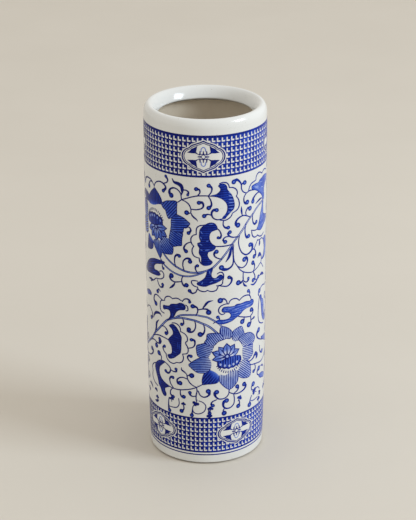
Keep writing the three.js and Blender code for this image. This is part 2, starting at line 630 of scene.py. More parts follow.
# How far along a small petal, and its half width there, as shares of the whole
SMALL_PETAL = [(0.0, 0.35), (0.25, 0.8), (0.5, 1.0), (0.75, 0.72), (0.93, 0.2), (1.0, 0.0)]
BACKING = (0, 6)  # a dark disc behind the small petals
BACKING_RADIUS = 12.5
HEART_MIDDLE = (2, 1)
FRILL_RADIUS = 26.5
FRILL_ANGLE = 276
FRILL_STEP = 9
FRILL_EACH_SIDE = 7


def shrunk(outline, centre, scale):
    return [tuple(centre[i] + scale * (p[i] - centre[i]) for i in (0, 1)) for p in outline]


def heart(sheet, centre, turn):
    """A small open blossom whose lower half is a dark scalloped cup, with a row of stamens under it."""
    c, s = math.cos(math.radians(turn)), math.sin(math.radians(turn))

    def turned(points):
        return [(centre[0] + c * x - s * y, centre[1] + s * x + c * y) for x, y in points]

    knot = turned([KNOT])[0]
    middle = turned([HEART_MIDDLE])[0]
    for k in range(-FRILL_EACH_SIDE, FRILL_EACH_SIDE + 1):
        angle = FRILL_ANGLE + turn + FRILL_STEP * k
        reach = FRILL_RADIUS - 0.02 * abs(k) ** 2.4
        brush(sheet, [offset(middle, angle, reach - 2.6), offset(middle, angle, reach + 0.6)], [1.0, 1.7])
    disc(sheet, turned([BACKING])[0], BACKING_RADIUS)
    cup = smooth(turned(CUP), closed=True)
    sheet.lay(DARK, cup)
    inner = shrunk(cup, middle, 0.86)
    sheet.lay(MIDDLE, inner)
    veined(sheet, inner, 90 + turn, DARK, 4.4, 2.2, 0.2)
    for light in turned(CUP_LIGHTS):
        disc(sheet, light, 1.9, WASH, 1.2)
    for angle, length, half_width in HEART_PETALS:
        a = angle + turn
        outline = []
        for side, row in ((90, SMALL_PETAL), (-90, SMALL_PETAL[-2::-1])):
            outline += [offset(offset(knot, a, length * t), a + side, half_width * w) for t, w in row]
        sheet.lay(DARK, outline)
        sheet.lay(PALE, shrunk(outline, offset(knot, a, 0.52 * length), 0.76), (knot, 8, 15))
        brush(sheet, [offset(knot, a, 0.2 * length), offset(knot, a, 0.8 * length)], [2.4, 0.8])
    disc(sheet, knot, 5.0)
    disc(sheet, knot, 2.4, WASH)


def flower(sheet, centre, turn, petals):
    """A lotus-like flower: a crown of broad petals, a bare ring, and the heart."""
    for angle, tone, *places in petals:
        petal(sheet, centre, angle, tone, *places)
    heart(sheet, centre, turn)


# The strokes of one repeat of each band of scrollwork, with each one's places in the order that it is
# drawn. Stems, lines and blades start with their width, tendrils and vines with the size of their knobs, and
# petals and leaves with their veins' angle and their tone. Ribs are a tone and pairs of ends.

# Upper register

UPPER_FLOWER = place(-55, 422)
UPPER_PETALS = [
    (185, MIDDLE, (-72, 426), (-78, 425), (-84, 430), (-86, 440), (-82, 450), (-76, 455), (-71.5, 448),
     (-70.5, 436)),
    (152, DARK, (-69, 454), (-74, 455), (-80, 458), (-84, 464), (-80, 470), (-73, 470), (-67, 466)),
    (205, MIDDLE, (-71, 400), (-76, 395), (-81, 398), (-85, 407), (-83, 418), (-78, 425), (-72.5, 424),
     (-70.5, 412)),
    (-112, DARK, (-60, 389), (-59.5, 380), (-62, 374), (-68, 370.5), (-73, 371), (-72, 380), (-71, 389),
     (-69, 398), (-64, 394)),
    (91, DARK, (-68, 458), (-66, 468), (-62, 476), (-58, 482), (-56, 485), (-52, 481), (-48, 475),
     (-45.3, 468), (-45.5, 461), (-50, 459), (-55, 455.5), (-60, 453), (-66, 453)),
    (-42, MIDDLE, (-35.5, 403), (-33, 394), (-32.7, 386), (-34, 379.5), (-39, 377.5), (-43, 377),
     (-46.8, 378), (-47, 385), (-48, 392), (-49, 398), (-46, 405), (-41, 406)),
    (-86, MIDDLE, (-59.5, 391), (-57.5, 383), (-54, 376), (-51, 369.5), (-49, 366), (-47.2, 370),
     (-46.4, 377), (-46.6, 385), (-48, 392), (-51, 397), (-55, 396)),
    (-25, MIDDLE, (-34.8, 421), (-28, 420.5), (-22.8, 419.5), (-23.3, 411), (-23.6, 404), (-23.8, 398),
     (-28, 396), (-33, 393.5), (-36, 399), (-37, 407), (-36, 415)),
    (48, MIDDLE, (-46.3, 462), (-43, 466), (-40, 469), (-35, 471.3), (-28.6, 472), (-28.4, 460),
     (-28.8, 449), (-33, 444), (-37.4, 440), (-39.5, 446), (-41, 453), (-44, 456)),
    (8, MIDDLE, (-29.5, 449.5), (-25, 448.5), (-21, 445.5), (-17.3, 440.5), (-15.4, 437), (-18, 432),
     (-21.5, 428), (-22.4, 421), (-27, 420), (-32, 420.5), (-35, 421), (-34.5, 430), (-34.5, 438),
     (-33, 444)),
]
UPPER_TENDRILS = [
    (2.6, (-43, 498), (-39, 501), (-37.8, 506), (-40, 511)),
    (3.0, (-56.5, 486), (-55, 492), (-51.5, 497), (-46.5, 499), (-42, 496), (-40.3, 491), (-43.4, 485)),
    (2.2, (-22.6, 493), (-19.3, 493.8), (-16.6, 491), (-17.3, 486)),
    (4.0, (-23.4, 477), (-24.3, 487), (-27.5, 493), (-31.6, 494.5), (-35.3, 491), (-36, 485), (-34, 481)),
    (3.2, (-8.3, 485.5), (-6, 491), (-6.6, 496), (-9.4, 497)),
    (3.2, (-14.4, 462.5), (-9.5, 462), (-4.4, 464.5), (-2.8, 469.5), (-4, 474.5), (-7, 474)),
    (3.8, (-14.8, 455.5), (-16.5, 455.2), (-18.5, 455.7)),
    (3.0, (-19.8, 429), (-16.5, 431.5), (-14.6, 426), (-16.9, 421)),
    (3.2, (-14.2, 406), (-17.7, 403.6), (-20.6, 398.6), (-21.4, 393), (-19.4, 389)),
    (3.0, (-30, 359.5), (-31.3, 367), (-30.8, 376), (-28.5, 380.3), (-26.3, 379)),
    (3.4, (-21.4, 354.5), (-22.7, 363), (-22.2, 371), (-19.3, 376.4), (-16, 376), (-15.6, 371.5)),
    (2.6, (-8.7, 353), (-10.4, 358.6), (-10.5, 363.5), (-8.7, 365.3)),
    (3.6, (-22.6, 344.8), (-24, 338.6), (-23.4, 331.4), (-21.4, 327.6), (-19.3, 329.3)),
    (4.0, (-23.9, 334.5), (-27.5, 333), (-31.6, 331.5), (-35.3, 333.8), (-36.6, 338.3), (-34.9, 341.3)),
    (2.5, (-46, 356), (-46, 352), (-44.8, 349.5)),
    (3.0, (-53.5, 324), (-51.7, 317.5), (-48.9, 314), (-46, 316), (-46, 319.8)),
    (3.4, (-60.5, 492.5), (-63.6, 491.5), (-65.8, 487), (-66.1, 482)),
    (3.4, (-57, 488), (-61, 494), (-66, 495.3), (-71.8, 493.8), (-76.5, 489), (-78.5, 483)),
    # right of the middle
    (3.2, (1.6, 485.7), (4.3, 492), (4.8, 499), (2, 503)),
    (3.5, (1.8, 484.5), (3.8, 478), (4.5, 470), (2, 465.3)),
    (3.2, (15.6, 445.5), (9.8, 444.5), (5.7, 448.6), (4.5, 456), (6.3, 461.3), (9.3, 461)),
    (3.3, (4.6, 452.5), (1, 454.5), (-2.2, 451.6)),
    (3.0, (15.6, 442), (15.4, 434.5), (17.4, 429.6), (20.3, 429)),
    (3.8, (39.8, 481.4), (36, 485), (34, 491.4), (33.8, 498.6), (31.6, 504.5), (28.7, 508), (25.8, 505.3)),
    (3.6, (33.9, 496), (35, 499.5), (37.7, 500)),
    (3.8, (39.8, 481.4), (37.2, 476), (36.9, 468.6), (38.7, 464.3), (41, 465.2)),
    (3.6, (64, 470.5), (57.4, 473.8), (52.5, 472), (49.2, 467.5), (48.6, 463)),
    (4.0, (45, 437.9), (39.3, 443), (35.2, 444.3), (31, 442), (28.2, 437), (28.3, 432), (30.4, 430)),
    (3.8, (39.8, 443), (39.2, 449), (41.8, 455), (44.6, 453)),
    (3.0, (48.6, 442), (48.2, 434.3), (49.2, 426), (52, 422), (54.3, 424.5)),
    (3.3, (39.6, 428), (38.4, 420), (38.9, 410), (40.8, 404.5), (43, 405.7)),
    (3.0, (29.9, 410.5), (25.4, 410.8), (21.5, 413.8), (20, 418.6), (22, 420.7)),
    (3.2, (20.5, 413.6), (17.2, 413), (15.2, 408.5), (17.4, 405)),
    (3.4, (13.5, 376), (10, 378), (7.2, 382), (7, 387), (9, 389.5)),
    (4.0, (24.3, 398), (24.8, 388.6), (25.4, 377), (25.4, 367), (23.8, 360.7), (19.7, 356.8),
     (15.5, 357.5), (13.7, 361)),
    (4.0, (29.9, 358.6), (35.2, 353.8), (40, 357), (41.8, 364), (40.3, 369.3), (37.8, 367.3)),
    (3.6, (32, 412), (31, 400), (32.4, 388.6), (35.2, 380), (40.2, 374.5), (45.9, 377), (48.4, 383),
     (47.6, 389), (45, 389.5)),
    (3.6, (46.5, 378.5), (50.8, 379), (53.3, 373), (53.4, 367), (51.2, 365.5)),
    (3.6, (49.6, 339.3), (51.6, 344), (51.8, 351), (49.2, 355.5)),
    (4.2, (36.6, 345.7), (36.4, 337), (36.5, 332), (34, 328), (31, 329)),
    (2.6, (36.8, 330), (40, 326), (43, 328), (43, 331)),
    (3.4, (50, 339), (52.4, 331.4), (52.6, 326), (50, 324)),
    (3.0, (52.5, 325), (55.5, 321.5), (58.8, 325)),
    (3.0, (10.7, 330), (14.8, 328), (19.7, 327.2), (23.4, 332.9), (23.8, 339.5), (21.2, 342)),
    (3.0, (-9.1, 324), (-10.3, 318.8), (-13.6, 316), (-16.3, 320)),
    (2.4, (10.2, 428.5), (12.3, 424.3), (13.5, 417), (12.3, 412.5), (10.6, 413.5)),
    (3.4, (63.5, 346.5), (65, 353), (64, 360), (60.5, 363.5)),
]
UPPER_BLADES = [
    (6.0, (-32.9, 510), (-30.8, 504.5), (-26.7, 503), (-23.4, 499.5), (-22.6, 492), (-23.3, 484)),
    (2.6, (-14.6, 457), (-12.8, 450.5), (-9.7, 446), (-8, 442)),
    (3.6, (-30.8, 331.5), (-32.5, 325.7), (-35.3, 320.7), (-37.8, 317.4)),
    (3.2, (35.2, 444.5), (34.3, 451.5), (34, 461)),
    (3.2, (53, 456.8), (57.4, 459.3), (62.3, 460.5), (66, 459)),
    (4.4, (24, 398), (22.9, 389), (21.3, 378.5), (17.6, 369.3)),
    (3.2, (36.3, 328), (38.1, 321.5), (41.6, 317.8)),
    (3.4, (46.5, 318.5), (50.5, 316), (55, 319), (58, 322)),
    (4.6, (60.6, 389), (60.8, 384), (59.8, 378.5)),
    (4.6, (57.5, 359.5), (60.2, 365), (64.5, 361)),
    (5.0, (61, 325), (66, 326), (72, 321)),
    (4.0, (-71, 317), (-66, 318.5), (-61, 320)),
]
UPPER_STEMS = [
    (3.0, (-46, 379), (-43, 374.6), (-40.7, 371), (-35.7, 364.8), (-30, 359.5), (-22.6, 354.7),
     (-15.2, 352.6), (-7.9, 353.4), (0, 357), (4.9, 361), (8.2, 366), (13.5, 375.5), (17.6, 384),
     (21.7, 393), (24.6, 400), (29.4, 409), (36.5, 422), (40, 429), (44.2, 435.8), (49.3, 442),
     (53.6, 447.5), (59.5, 452), (67, 455.5)),
    (2.6, (-48, 364), (-44.8, 358.4), (-40.7, 354), (-34.9, 349.3), (-29.2, 346.4), (-22.6, 344.8),
     (-15.2, 346), (-8.7, 349.6), (-3, 354)),
]
UPPER_LINES = [
    (1.7, (-30, 470), (-26.7, 472), (-23.4, 476.6), (-19.3, 479.5), (-14.4, 482.8), (-7.9, 485.5),
     (0, 485.8), (8, 484.5)),
    (1.7, (-23.4, 476.6), (-19.3, 474.3), (-16.1, 469.5), (-14.4, 462), (-14.6, 457)),
    (1.8, (8.2, 398.6), (13.9, 398), (19.7, 398), (24.6, 399.3)),
    (1.5, (25.8, 398), (25.6, 383), (26.6, 368.6), (29.9, 358.8), (32.8, 351.4), (36.9, 345.7),
     (42.6, 341.6), (49.2, 339.5), (57.4, 342.9), (63.5, 346.5), (70, 335)),
    (1.7, (39.8, 481.4), (44.3, 483.6), (50, 482)),
    (1.5, (50.8, 379), (54.5, 387), (57, 392)),
    (1.5, (46.5, 414), (52.5, 410.8), (58, 411)),
    (1.5, (47, 411), (48.4, 403), (52.5, 398.8), (56.6, 399.5)),
    (1.5, (56, 391), (60.7, 389.5), (65.6, 389.5), (70, 384)),
]
UPPER_SCALLOPS = [
    # round the kidney leaf in the middle
    [(-0.5, 436.6), (-4, 435.6), (-6.7, 434.6), (-9, 431), (-9.6, 425), (-9.5, 419.5)],
    [(-9.5, 419.5), (-12, 418.3), (-14.2, 414), (-14.7, 408), (-13.5, 402), (-11.9, 399)],
    [(-11.9, 399), (-13.3, 395), (-13.6, 389), (-12, 382.5), (-9, 379.7), (-6.9, 379)],
    [(-6.9, 379), (-6.6, 373.5), (-5, 369), (-2.6, 366.2)],
    # round the crescent leaf
    [(12, 505.5), (15, 507), (18.5, 505.7), (20.5, 502), (21.3, 497)],
    [(21.3, 497), (25, 496), (28, 492.5), (29.4, 488), (29.3, 483), (28.3, 480.5)],
    [(28.3, 480.5), (30.5, 475), (31.7, 468), (31.2, 461.5), (29, 456.5), (24.5, 452.8)],
    [(24.5, 452.8), (23, 447.5), (20.5, 444.2), (17, 442.2), (12.5, 443.4)],
    # round the leaf below the middle
    [(-8.5, 338.3), (-11.5, 339), (-14.3, 338), (-14, 333), (-11.5, 329), (-8.7, 327.7)],
    [(-8.7, 328), (-8, 323.5), (-5, 320.6), (-1.5, 320.2), (0.5, 322.4)],
    [(0.5, 322.4), (3, 320.4), (6, 320.2), (8.8, 322), (10, 326), (10.8, 329.8)],
    [(9, 329.6), (13, 330.2), (14.7, 333), (15, 338)],
    [(9.8, 350.5), (12, 353), (14.5, 352.2), (15.8, 348), (15.7, 342), (15, 338)],
    # over the leaf at the right
    [(42.5, 484), (44, 490.5), (46.4, 494.6), (50, 496.2), (53, 497.3)],
    [(53, 497.3), (53.3, 502), (55, 505.8), (58, 507.5), (61.3, 506), (64.6, 502.5)],
    [(64.6, 502.5), (68, 505.6), (72, 505.8), (78, 502)],
    # under the leaf at the right
    [(47.2, 412), (48.3, 404), (51, 399.5), (54, 398.8), (56.6, 400.2)],
    [(56.6, 400.2), (60, 396), (65, 394), (70, 396.5)],
    # beside the leaf at the left
    [(-50, 341.5), (-47.2, 343.6), (-44.4, 340), (-44.6, 334), (-47.4, 329.6), (-51.5, 327.2)],
    [(-51.5, 327.2), (-56, 325.5), (-60, 320), (-66, 314.5)],
]
UPPER_LEAVES = [
    # kidney leaf in the middle
    (0, DARK, (0.5, 439), (4, 440.4), (7.5, 438.6), (9.6, 433.5), (10.2, 428), (7.8, 426.4), (4.6, 424),
     (2.9, 419), (2.9, 411), (5, 404), (8.4, 399), (7.4, 393.5), (4, 390.3), (1.5, 388.8), (1, 383),
     (2.8, 377), (5.5, 372), (3.6, 367), (0, 365.5), (-3, 366), (-5.2, 371.4), (-5.3, 380), (-7.4, 387.5),
     (-7, 396), (-8.6, 401), (-8.4, 405.4), (-5.8, 407), (-7, 414), (-7, 421), (-6.2, 428.8),
     (-3.4, 434.5)),
    # crescent leaf
    (0, DARK, (14.3, 505.4), (17, 504), (19, 500), (19.7, 494), (22, 489), (24.5, 482), (26, 475),
     (26.8, 467), (26, 459.5), (23.6, 456), (21, 451.5), (18.6, 447.5), (17.5, 445), (15.5, 444.7),
     (14.5, 447.5), (17, 452), (18.8, 457.5), (19.3, 464), (18.5, 470), (16.5, 475), (13.5, 479.5),
     (9, 483), (4, 484.6), (4, 486.4), (8.5, 488), (11, 491), (12.6, 494.5), (12.2, 498), (10.6, 501),
     (11.5, 504)),
    # leaf below the middle
    (0, DARK, (5, 362.5), (5.6, 358), (4.6, 353), (4.4, 348), (6, 344), (8.4, 343.6), (10, 346.5),
     (12.5, 349), (15, 347), (15, 341), (12, 337), (8, 334), (3, 331.5), (-1, 328.8), (-5, 329.2),
     (-9, 331.6), (-9, 335.8), (-5, 340), (-2, 345), (-0.6, 351), (0.6, 358)),
    # leaf at the right
    (35, FULL, (47, 489.5), (52, 491), (57, 490.7), (60, 493.6), (65, 495.2), (70, 496.7), (76, 494.8),
     (84, 490), (80, 485), (74, 482), (71, 477), (69.8, 470), (70.6, 462), (69.5, 455), (67, 456.5),
     (66, 461), (64, 466), (61, 470.5), (57.5, 475), (54.5, 478.6), (51, 481.4), (47.6, 484)),
    # leaf under it
    (80, FULL, (66, 452), (65, 446), (63.5, 440), (61.5, 433), (60, 425), (57.5, 416), (55.3, 411.5),
     (58, 408.3), (62, 406), (66, 407.5), (70, 411), (76, 414), (80, 418), (79, 424), (73, 427), (69, 431),
     (68.3, 438), (68, 446), (68.7, 453)),
    # leaf at the lower right
    (70, FULL, (70, 386), (76, 388), (80, 380), (81, 368), (78, 356), (71, 351), (66, 352), (70, 357),
     (72.5, 368), (71, 378)),
    # leaf at the lower left
    (20, DARK, (-43.3, 362), (-51.3, 361.8), (-59.5, 359.5), (-68, 353), (-75, 343), (-80, 331),
     (-76, 326), (-68, 328), (-59.5, 330), (-52, 332.3), (-48.6, 336.5), (-52, 341), (-57.6, 341),
     (-58.4, 346), (-55, 351.5), (-49, 355), (-43.4, 358)),
]
UPPER_RIBS = [
    (PALE, [((20.5, 490), (22.6, 487)), ((20.6, 483.5), (24.4, 481.5)), ((20.6, 477), (25.5, 476)),
     ((20.6, 471.5), (26.2, 471)), ((20.6, 466.5), (26.4, 466)), ((20.6, 461.5), (25.8, 460.5)),
     ((20, 456), (23.2, 455))]),
    (PALE, [((-5.6, 426), (-4, 421)), ((-6, 416), (-4.5, 412)), ((-6.6, 403.5), (-4, 401)), ((-6, 394),
     (-4, 392)), ((-1.5, 392.5), (2.5, 393.5)), ((-0.5, 408), (1.6, 409)), ((2, 437.2), (6, 437.6))]),
    (PALE, [((2.5, 356), (3.2, 350)), ((6.5, 341), (11, 342.5)), ((-5, 333), (-3.8, 336.5)), ((2.5, 336),
     (5.5, 338))]),
    (PALE, [((50, 488), (57, 484)), ((51, 485.4), (57.5, 481)), ((60, 490), (66, 488)), ((63, 480),
     (67, 478))]),
    (PALE, [((63.5, 432), (65.8, 436)), ((61.5, 421), (65, 425)), ((63.5, 413), (69, 416))]),
    (MIDDLE, [((-66, 346), (-58, 352)), ((-70, 338), (-64, 341)), ((-62, 335), (-55, 336.5))]),
]

# Lower register

LOWER_FLOWER = place(20, 196)
LOWER_PETALS = [
    (96, PALE, (12.3, 243), (12.2, 250), (13.8, 255.7), (17.5, 254.3), (21, 250.5), (23.6, 245.5),
     (24.8, 240), (22.6, 232), (18.5, 233.3), (15, 231.5), (12.6, 237)),
    (58, PALE, (24.4, 240), (26, 244.5), (30, 248), (34.7, 249), (36.7, 242), (38.3, 232), (35, 229),
     (31, 226), (27, 225), (24.8, 231)),
    (14, PALE, (31, 228), (36.5, 233), (41, 233.4), (45, 232.3), (49, 228.5), (52.2, 222.5), (53.2, 217),
     (51.3, 212), (49, 209), (42, 209), (37, 210), (35.5, 216), (33.5, 222)),
    (-8, PALE, (36.8, 210), (42, 209.5), (49.2, 209), (49.7, 203), (49.6, 198), (50.5, 192), (47.5, 186),
     (42, 182.5), (38, 185), (36.3, 194), (36.2, 203)),
    (-42, PALE, (36.5, 187), (41, 183), (44.3, 178.5), (46.4, 172), (46.9, 165), (47.4, 158),
     (46.2, 151.8), (43, 150.2), (38, 151.8), (34, 155.5), (30.8, 161), (30.6, 167), (32.6, 175),
     (34, 182)),
    (-128, DARK, (11.8, 164), (11, 155), (8, 152), (4, 151.3), (0, 151), (-4.2, 150.2), (-5.3, 156),
     (-4.7, 165), (-3, 172.5), (0, 178.5), (4, 177), (8.5, 172)),
    (-89, PALE, (11.3, 163), (11.8, 156), (14.3, 149), (18, 142.3), (21.6, 138), (25.2, 140.3),
     (28.3, 145), (30.4, 150), (31.3, 157), (31.3, 164), (30, 170.5), (26, 171), (22, 169), (17, 165.3),
     (12.4, 168)),
    (183, PALE, (0, 174), (-4, 172.3), (-9, 172.8), (-13, 177), (-16.2, 182), (-17.8, 185.8), (-14, 192.3),
     (-10, 197.5), (-5, 201.4), (0, 202), (3, 196), (4, 188), (3, 180)),
    (162, PALE, (1, 202.3), (-5, 201.4), (-8.4, 203), (-9.9, 210), (-9.9, 222.3), (-6, 225.3), (-1, 227.8),
     (3, 226.5), (6, 222), (5, 214), (3, 207)),
    (124, PALE, (-2.4, 228), (-0.4, 235), (0.3, 243.5), (6, 245), (12, 243.7), (14.8, 238), (15.2, 232),
     (10.5, 229), (7, 223), (3, 222)),
]
LOWER_TENDRILS = [
    (3.2, (-49.7, 306), (-51.8, 309), (-53.6, 303.5)),
    (4.0, (-49.5, 293.6), (-53, 296), (-56.5, 296.3), (-59.3, 292.5), (-60, 285), (-56.8, 279.8)),
    (2.5, (-23.4, 299.3), (-21.8, 303.6), (-18.9, 305.2), (-16.6, 303), (-16.3, 300)),
    (2.8, (-23.4, 268.8), (-22.5, 264), (-22.6, 259.5), (-24.5, 257.8)),
    (3.6, (-11.6, 267), (-10.7, 258.6), (-12, 250), (-15, 246), (-18.2, 247.5), (-17.4, 250.6)),
    (4.2, (-3.4, 261.6), (-2.1, 253), (-3.4, 244.8), (-6.4, 243)),
    (3.6, (-10.3, 277.4), (-8.6, 284.3), (-9.4, 291.4), (-13.4, 293)),
    (4.2, (-8.8, 287), (-4.6, 288.8), (0, 288.5), (1.6, 283)),
    (2.8, (-42.3, 195.7), (-45.4, 199.5), (-46.9, 205.7), (-44.6, 208.8)),
    (2.9, (-17.7, 216.4), (-13.6, 218.6), (-11.6, 224.3), (-12, 231.4), (-14.9, 232.3)),
    (2.8, (-14, 190), (-17.3, 193.6), (-18.9, 199.5), (-17.3, 203.2), (-15.5, 202)),
    (3.3, (-48, 244.4), (-44.8, 245.2), (-41.5, 241.4), (-40.3, 236), (-42.4, 233.8)),
    (3.3, (-60, 210.3), (-55.4, 208.8), (-51.3, 210), (-49.7, 215), (-51.6, 218)),
    (4.2, (-56.5, 208.6), (-56, 206), (-57, 202.8)),
    (3.8, (-80, 172), (-72.6, 175), (-67.7, 178.8), (-64.4, 184), (-63.8, 189), (-66.2, 190.8)),
    (4.2, (-49.7, 180.7), (-49.4, 187), (-53, 191.4)),
    (2.9, (-43.9, 179.4), (-39.8, 175.9), (-37.5, 171), (-38.3, 164.5), (-40.8, 161.3), (-43.5, 163.8)),
    (2.8, (-37.4, 169.4), (-33.7, 167.6), (-30.7, 169), (-31.1, 173)),
    (4.2, (-19.3, 164.5), (-17.5, 166.5), (-14.9, 166.4)),
    (3.9, (-19.2, 158.6), (-23.4, 160.7), (-27.5, 158.6), (-30, 153.6), (-29, 148), (-26.8, 149)),
    (2.8, (-34.1, 136.4), (-37.4, 142.9), (-38.7, 151), (-36.8, 156.3), (-34.7, 156.2)),
    (3.0, (-35.3, 135.9), (-37.8, 130), (-37.8, 123), (-34.8, 120)),
    (3.4, (-26.7, 135.9), (-26.7, 129), (-25.3, 124), (-23.2, 124.4)),
    (3.4, (-39.8, 116), (-40.6, 108), (-40.7, 98), (-39.7, 91.8)),
    (3.6, (-23.4, 108), (-23.3, 101), (-25.8, 96.6)),
    (3.0, (-10.8, 129), (-14, 127.6), (-16.6, 130), (-16.9, 134)),
    (4.0, (-8.7, 138.6), (-7, 131.4), (-3.8, 127.4), (0, 128.8), (2, 133), (1, 138.4)),
    (3.3, (-14.4, 104), (-14.8, 97), (-15.2, 91.6)),
    (3.6, (-70, 266), (-65, 260), (-63.5, 252), (-66.5, 248)),
    # right of the middle
    (4.4, (19.3, 296.4), (18.6, 301), (16, 305.3), (12.6, 302.8)),
    (2.8, (11.4, 268), (11.8, 271), (10.2, 273.4)),
    (3.0, (44.7, 300.5), (45.2, 305), (43.2, 308.6)),
    (3.8, (45.9, 261), (49.2, 265), (50, 270.5), (47.6, 272.3)),
    (4.2, (37.6, 264), (38.1, 259.5), (35.8, 257.2)),
    (4.4, (46.6, 261), (47, 253), (46.8, 249), (44.2, 247)),
    (2.0, (47, 254.5), (49.5, 254.5), (51.6, 255.7)),
    (3.0, (53.3, 168.8), (54.6, 163), (54, 157.5), (51.8, 155.8)),
    (3.4, (41, 181.6), (45.9, 178.8), (50.8, 181.4), (53, 185.5), (55, 187)),
    (3.9, (21.5, 132), (19.7, 125.9), (15.6, 122.2), (10.9, 123), (7.8, 128.6), (7.4, 134.5), (9, 136)),
    (3.0, (9, 121.6), (5, 118.6), (3.7, 113.6), (5.4, 111)),
    (3.8, (22, 131.8), (26.2, 128), (30.3, 126.6), (35.2, 128), (39.3, 131.6), (40.5, 136.5),
     (38.4, 140.3)),
    (3.5, (27, 129), (30.3, 132.5), (31.6, 137.5), (30.2, 140.2)),
    (3.9, (26.4, 127.6), (27.2, 118.6), (26.6, 108.8), (23, 103.2), (18.2, 103.2), (15.6, 108.8),
     (16.2, 116), (19, 117.8)),
    (4.2, (16.6, 103.4), (15.6, 99), (16.6, 94.4)),
    (3.8, (32.6, 113), (33.2, 107), (31.8, 102.4)),
    (4.2, (49.2, 122), (48.8, 128), (51.6, 132)),
    (4.2, (49.4, 111.5), (47.5, 105.8), (46.3, 96)),
    (3.9, (60.7, 288.8), (59, 293.5), (61.3, 297.8)),
    (4.2, (74, 199.5), (65.6, 205.9), (60.7, 210.3), (57.4, 216), (57.1, 222.6), (60.5, 226.8)),
    (3.8, (62.8, 196), (63.2, 187), (65.6, 181.8), (69, 181.6)),
    (4.2, (64, 139.5), (59, 144.5), (58.4, 151), (61.6, 154.4)),
    (3.2, (2.4, 108), (1.4, 102), (2.2, 96.4)),
]
LOWER_BLADES = [
    (4.6, (-61.5, 251), (-60, 258), (-56.5, 263.5), (-51, 265.5), (-47.8, 261)),
    (4.4, (-59.8, 224), (-57, 234.3), (-56, 245), (-52, 253)),
    (3.6, (-4.6, 288.4), (-2, 295), (1, 301.5), (5.8, 304)),
    (2.8, (-19.8, 167.5), (-22, 171), (-25, 174.5), (-25.2, 179)),
    (5.0, (-50, 218), (-51.5, 214), (-53, 210)),
    (6.0, (54.5, 187.5), (57, 185), (57, 180), (55.4, 176.5)),
    (3.4, (65.8, 155.5), (70, 154), (74, 149)),
    (5.0, (-62, 117), (-59.5, 119), (-57, 115)),
    (5.0, (-62, 96), (-59, 96.5), (-55, 101)),
    (4.4, (-75, 121), (-70, 121.5), (-66, 116)),
]
LOWER_STEMS = [
    (3.2, (-92, 178), (-86, 184), (-80, 190.5), (-75, 197.5), (-70.2, 204.3), (-64, 214), (-58.7, 225.7),
     (-53, 235.7), (-47.2, 247), (-42.3, 256.4), (-39, 260.7), (-34.1, 265), (-29.2, 268), (-23.4, 269.5),
     (-16.1, 268.8), (-10.3, 267), (-4.6, 263), (0, 259.5), (4.1, 254.3), (7.4, 248.6), (10.2, 243.6)),
    (2.8, (-31.5, 267), (-25.9, 273.6), (-18.5, 276.4), (-10.3, 277.5), (-4.6, 276), (0, 274.3),
     (4.1, 270.4), (8.2, 265.8), (12.3, 260), (14.8, 253.6)),
]
LOWER_LINES = [
    (1.9, (-70.5, 203.5), (-65.2, 208.8), (-61.1, 210.7), (-58, 210)),
    (1.8, (-62, 218.6), (-59, 221), (-56, 223), (-51.3, 224.8), (-44.8, 224.8), (-39.5, 223.5)),
    (1.7, (-41.5, 138.5), (-37.5, 136.6), (-34.1, 135.8), (-27.5, 136.2), (-21, 138.6), (-15.2, 141.5),
     (-10.3, 145.2), (-4.2, 151.5)),
    (1.7, (-10.3, 145.2), (-14.4, 148.8), (-17.7, 154.5), (-19.3, 161.4), (-19.8, 167.5)),
    (1.8, (-10.3, 144.6), (-9.8, 138.6), (-10.7, 130), (-10.8, 121)),
    (1.5, (-40.5, 99.5), (-35.7, 99.5), (-30.8, 101.6), (-28.3, 108.6), (-28.7, 119)),
    (1.5, (-8, 120), (-4, 117), (-1.4, 110), (-3, 100.4), (-7.9, 95.4), (-12.8, 96.8), (-14.4, 104.5),
     (-13, 111.5), (-10, 116)),
    (1.7, (31.1, 268.6), (35.2, 265.9), (40.2, 263.1), (45.9, 261)),
    (1.7, (43, 174.5), (49.2, 170.2), (53.3, 168.8), (59, 166.6), (66, 164.5), (74, 167), (88, 178)),
    (1.7, (21.6, 139), (21.4, 132)),
    (1.5, (49.2, 122.5), (53, 120.6), (59.8, 120.4), (64, 114)),
    (1.5, (48.6, 101.8), (53.3, 100.2), (60, 101.5)),
    (1.5, (9.5, 267), (6, 263)),
    (1.7, (-88, 262), (-80, 257.5), (-75, 264), (-70, 266)),
    (1.5, (-49.6, 293.6), (-46.4, 291.8)),
]
